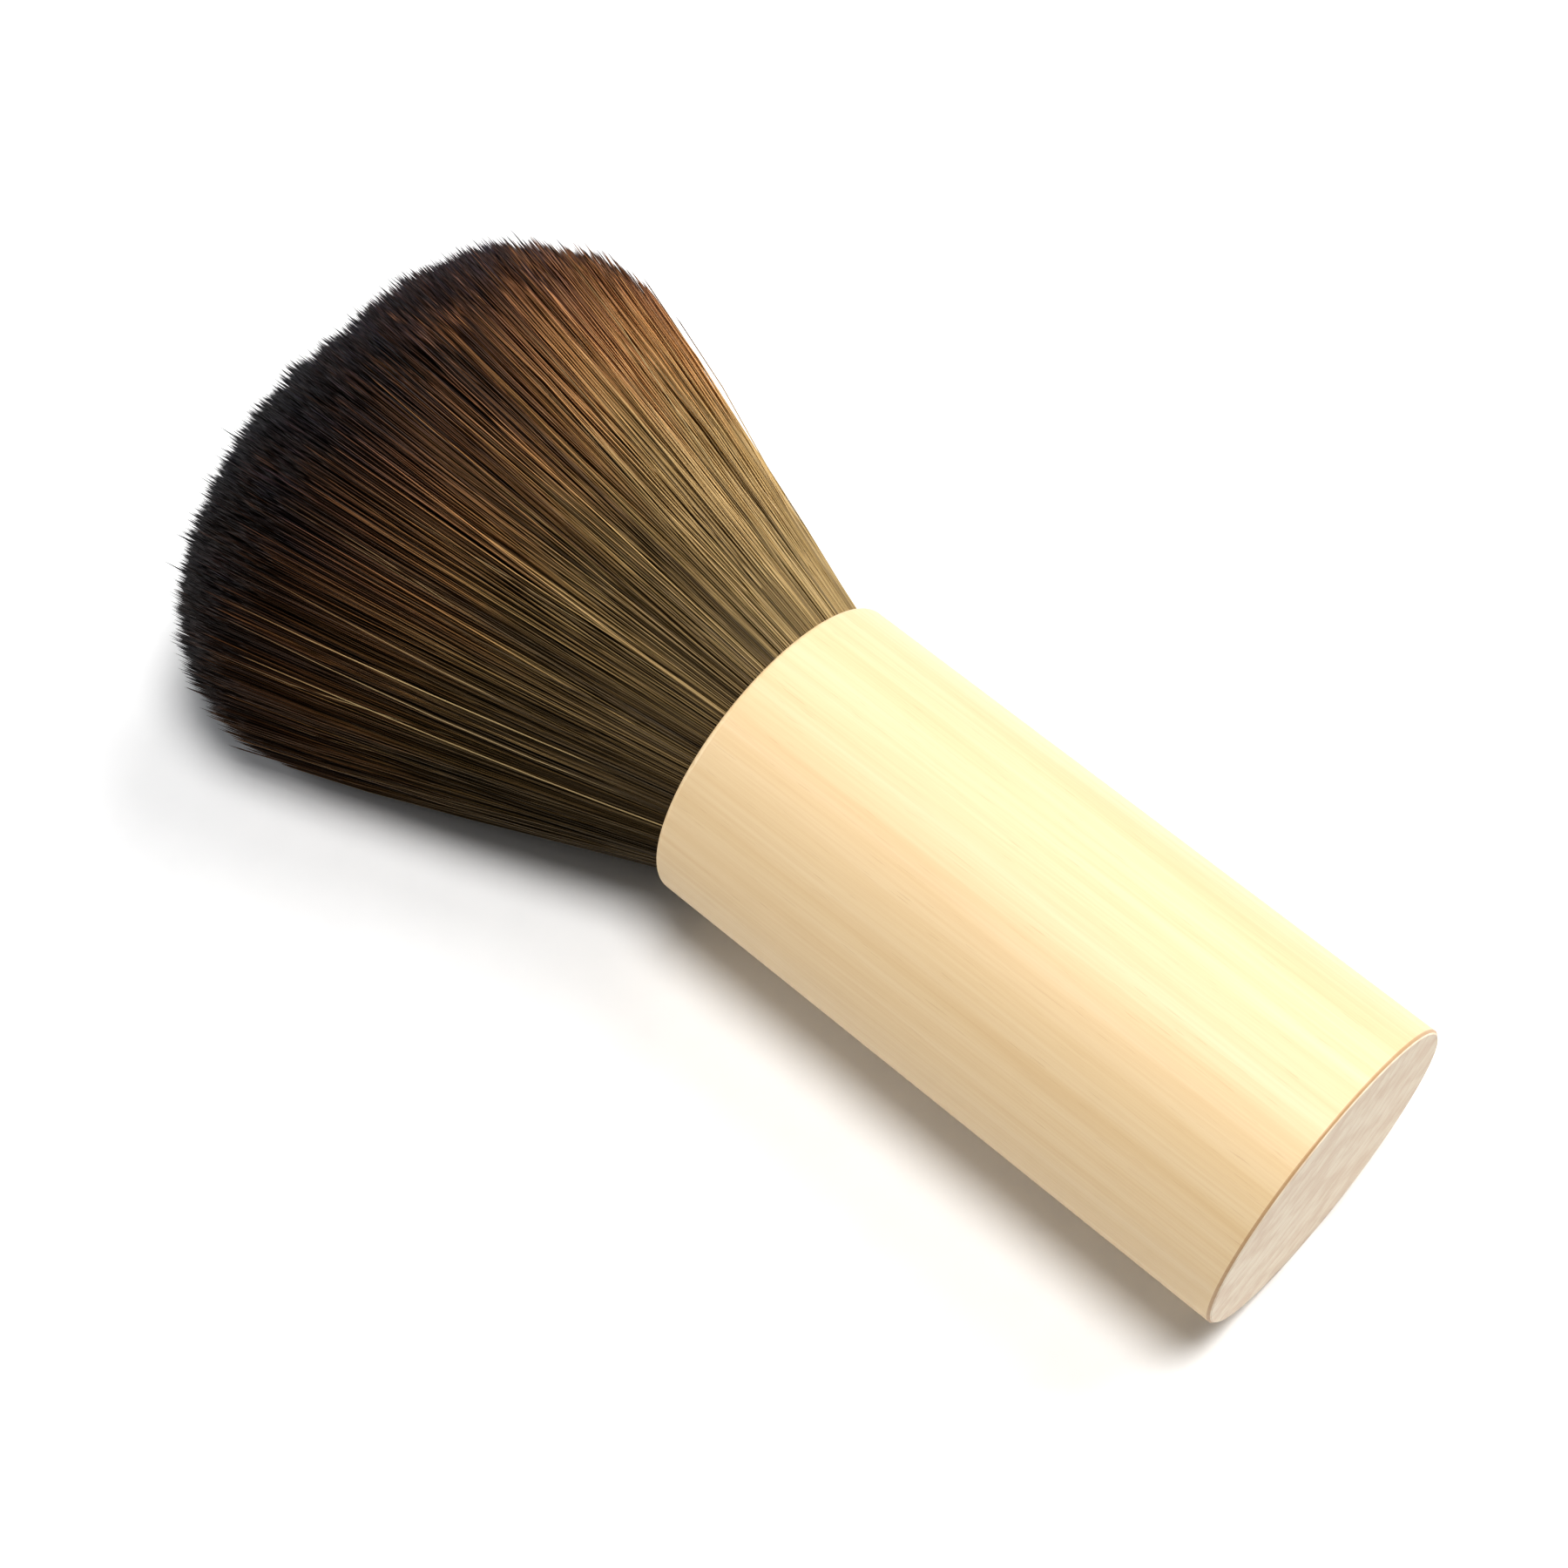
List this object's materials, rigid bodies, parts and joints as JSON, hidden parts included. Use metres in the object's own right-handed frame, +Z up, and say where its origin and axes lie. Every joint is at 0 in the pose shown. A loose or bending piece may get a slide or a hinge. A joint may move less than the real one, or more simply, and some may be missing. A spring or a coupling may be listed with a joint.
{
  "type": "neck duster brush",
  "caption": "Hand brush with a plain cylindrical wooden handle and a flared, dome-tipped bundle of soft synthetic bristles, lying on its side.",
  "frame": {"origin": "centre of the bottom of the bounding box, on the table that the brush lies on", "axes": "+X from the bristles towards the handle's flat end, +Z up, +Y to the right seen from the handle's end"},
  "size_m": [0.1376, 0.0656, 0.0479],
  "materials": {
    "handle_wood": "pale close-grained wood, fine sanded, thin satin lacquer",
    "ferrule_metal": "drawn, bare",
    "adhesive": "cured epoxy, glossy",
    "resin": "cured potting resin, amber",
    "thread": "twisted polyester thread",
    "bristles": "fine tapered synthetic fibre, golden brown at the root, near black at the tip, slight gloss"
  },
  "bodies": {
    "root": {"handle": "handle_wood", "ferrule": "ferrule_metal", "adhesive_layer": "adhesive", "resin_plug": "resin", "binding_thread": "thread", "bristle_core": "bristles", "bristle_inner_1": "bristles", "bristle_inner_2": "bristles", "bristle_inner_3": "bristles", "bristle_inner_4": "bristles", "bristle_outer_1": "bristles", "bristle_outer_2": "bristles", "bristle_outer_3": "bristles", "bristle_outer_4": "bristles", "bristle_outer_5": "bristles", "bristle_outer_6": "bristles", "bristle_outer_7": "bristles", "bristle_outer_8": "bristles", "bristle_outer_9": "bristles", "bristle_outer_10": "bristles"}
  },
  "joints": []
}
